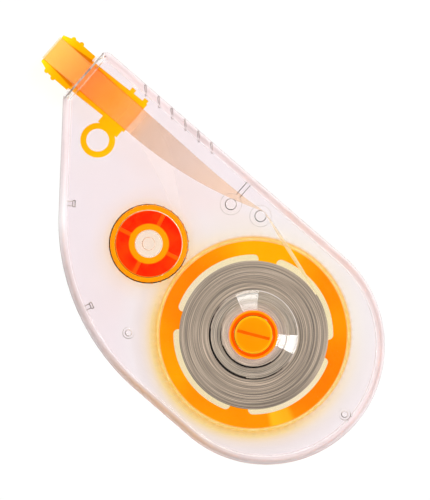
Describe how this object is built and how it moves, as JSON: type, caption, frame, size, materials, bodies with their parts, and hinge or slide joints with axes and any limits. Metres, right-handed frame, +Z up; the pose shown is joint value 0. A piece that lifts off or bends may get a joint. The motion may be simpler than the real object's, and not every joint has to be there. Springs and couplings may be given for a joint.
{
  "type": "correction tape dispenser",
  "caption": "Flat drop-shaped clear correction tape dispenser with an orange applicator head, a supply reel of tape and a take-up reel geared to it through a slipping clutch.",
  "frame": {"origin": "on the supply reel's axis, on the flat back face of the case that the object lies on", "axes": "+X along the case towards the applicator tip, +Y towards the bulged side, +Z up through the thickness, out of the front face with the dished hub window"},
  "size_m": [0.0877, 0.0436, 0.0132],
  "materials": {
    "clear_case": "clear, polished, faintly rosy in the thick edges",
    "clear_gear": "clear, slightly warm",
    "orange_head": "translucent orange, satin",
    "orange_reel": "translucent orange, satin",
    "coated_tape": "wound coated film, satin, with fine concentric lines",
    "tape_strand": "coated film, satin",
    "bare_film": "thin clear film",
    "clutch_rubber": "matt black"
  },
  "bodies": {
    "case": {"rear_case": "clear_case", "front_case": "clear_case", "applicator_head": "orange_head", "fresh_tape": "tape_strand", "used_film": "bare_film"},
    "drive": {"drive_gear": "clear_gear", "drive_hub": "orange_reel", "clutch_ring": "clutch_rubber"},
    "supply": {"supply_reel": "orange_reel", "tape_roll": "coated_tape"},
    "takeup": {"takeup_reel": "orange_reel", "used_winding": "bare_film"}
  },
  "joints": [
    {"name": "drive_spin", "type": "hinge", "parent": "case", "child": "drive", "pos_m": [0, 0, 0.0065], "axis": [0, 0, 1], "continuous": true},
    {"name": "clutch_slip", "type": "hinge", "parent": "drive", "child": "supply", "pos_m": [0, 0, 0.0065], "axis": [0, 0, 1], "continuous": true},
    {"name": "takeup_spin", "type": "hinge", "parent": "case", "child": "takeup", "pos_m": [0.0255, 0, 0.0065], "axis": [0, 0, 1], "continuous": true}
  ],
  "couplings": [
    {"joint": "takeup_spin", "follows": "drive_spin", "ratio": -2.6429}
  ]
}
